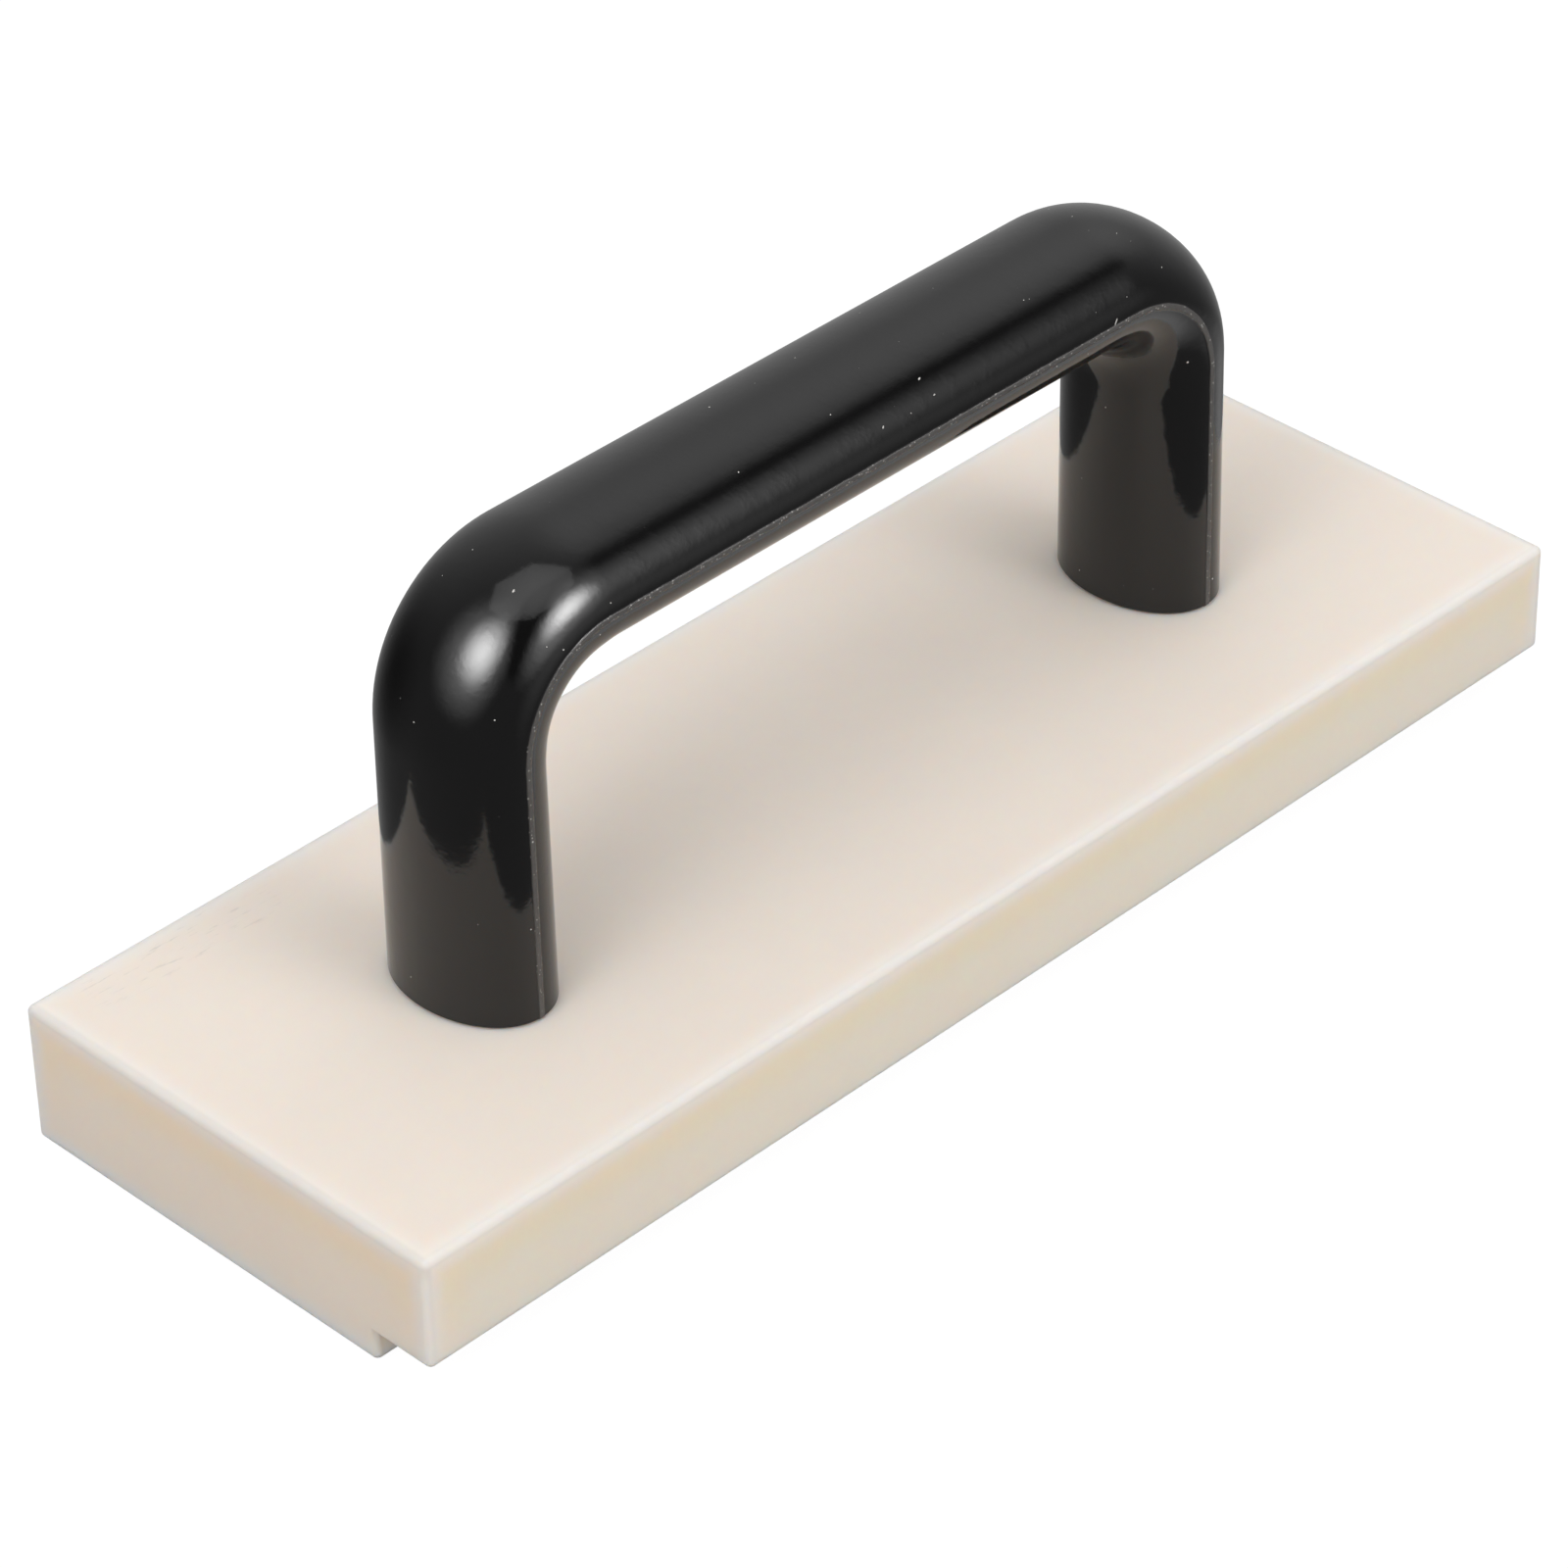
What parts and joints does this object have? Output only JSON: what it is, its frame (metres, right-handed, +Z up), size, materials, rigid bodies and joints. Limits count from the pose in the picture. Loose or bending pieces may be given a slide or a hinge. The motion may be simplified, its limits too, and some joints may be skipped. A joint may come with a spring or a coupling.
{
  "type": "film applicator block",
  "caption": "Hand-held film applicator block: thick flat plastic board with a stepped sole edge under a glossy black bow handle.",
  "frame": {"origin": "centre of the board's flat sole, on the surface it rests on", "axes": "+X along the board and the grip, +Y across the board away from the stepped edge, +Z up through the handle"},
  "size_m": [0.2, 0.07, 0.0787],
  "materials": {
    "nylon": "satin",
    "phenolic": "polished",
    "brass": "machined",
    "black_steel": "black oxide",
    "zinc_steel": "zinc plated"
  },
  "bodies": {
    "root": {"sole_board": "nylon", "bow_handle": "phenolic", "cap_screw_left": "black_steel", "lock_washer_left": "zinc_steel", "flat_washer_left": "zinc_steel", "threaded_insert_left": "brass", "cap_screw_right": "black_steel", "lock_washer_right": "zinc_steel", "flat_washer_right": "zinc_steel", "threaded_insert_right": "brass"}
  },
  "joints": []
}
